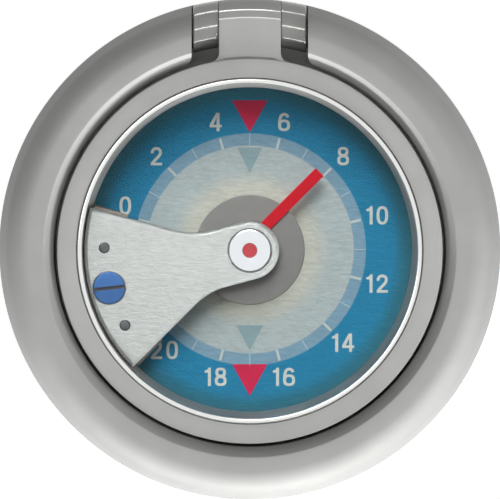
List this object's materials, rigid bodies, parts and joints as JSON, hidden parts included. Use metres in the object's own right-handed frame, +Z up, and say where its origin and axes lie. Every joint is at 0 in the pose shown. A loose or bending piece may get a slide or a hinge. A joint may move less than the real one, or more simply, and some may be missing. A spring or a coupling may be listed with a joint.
{
  "type": "hand-held finder compass",
  "caption": "Round magnetic reading compass whose glazed capsule is hinged to an open locator ring with a fingertip opening; the needle turns freely under a bridge.",
  "frame": {"origin": "centre of the locator ring on the plane that its foot stands on", "axes": "+Z up through the dial and the glass, +Y towards the hinge at twelve o'clock, +X towards three o'clock"},
  "size_m": [0.06, 0.06, 0.011],
  "materials": {
    "ring_metal": "bead-blasted satin",
    "plate_metal": "bead-blasted satin",
    "screw_steel": "turned, non-magnetic stainless",
    "pin_steel": "ground, non-magnetic",
    "washer_plastic": "low-friction washer",
    "case_metal": "bead-blasted satin",
    "polished_metal": "polished",
    "bezel_metal": "polished",
    "glass": "flat clear mineral glass",
    "gasket_rubber": "matt",
    "rehaut_metal": "satin",
    "dial_enamel": "brushed, lacquered blue",
    "plate_brass": "brushed",
    "cover_metal": "bead-blasted satin",
    "bridge_metal": "bright plated, brushed grain",
    "foot_metal": "plain milled",
    "blued_steel": "blued head",
    "dark_steel": "dark oxide",
    "setting_metal": "polished",
    "ruby": "synthetic ruby",
    "disc_metal": "grey anodised",
    "magnet": "plated magnet",
    "pointer_red": "red lacquer",
    "collet_brass": "turned"
  },
  "bodies": {
    "locator": {"locator_ring": "ring_metal", "finder_plate": "plate_metal", "finder_screws": "screw_steel", "hinge_pin": "pin_steel", "hinge_washers": "washer_plastic"},
    "capsule": {"case_ring": "case_metal", "hinge_barrels": "polished_metal", "bezel": "bezel_metal", "crystal": "glass", "crystal_gasket": "gasket_rubber", "rehaut": "rehaut_metal", "dial": "dial_enamel", "main_plate": "plate_brass", "back_gasket": "gasket_rubber", "back_cover": "cover_metal", "bridge": "bridge_metal", "bridge_foot": "foot_metal", "bridge_screw": "blued_steel", "steady_pins": "dark_steel", "jewel_setting": "setting_metal", "upper_jewel": "ruby", "lower_jewel": "ruby"},
    "needle": {"needle_staff": "pin_steel", "needle_disc": "disc_metal", "disc_cap": "disc_metal", "needle_magnets": "magnet", "pointer": "pointer_red", "needle_collet": "collet_brass"}
  },
  "joints": [
    {"name": "lid_hinge", "type": "hinge", "parent": "locator", "child": "capsule", "pos_m": [0, 0.026, 0.00715], "axis": [-1, 0, 0], "range_deg": [0, 180]},
    {"name": "needle_spin", "type": "hinge", "parent": "capsule", "child": "needle", "pos_m": [0, 0, 0.0055], "axis": [0, 0, 1], "continuous": true}
  ]
}
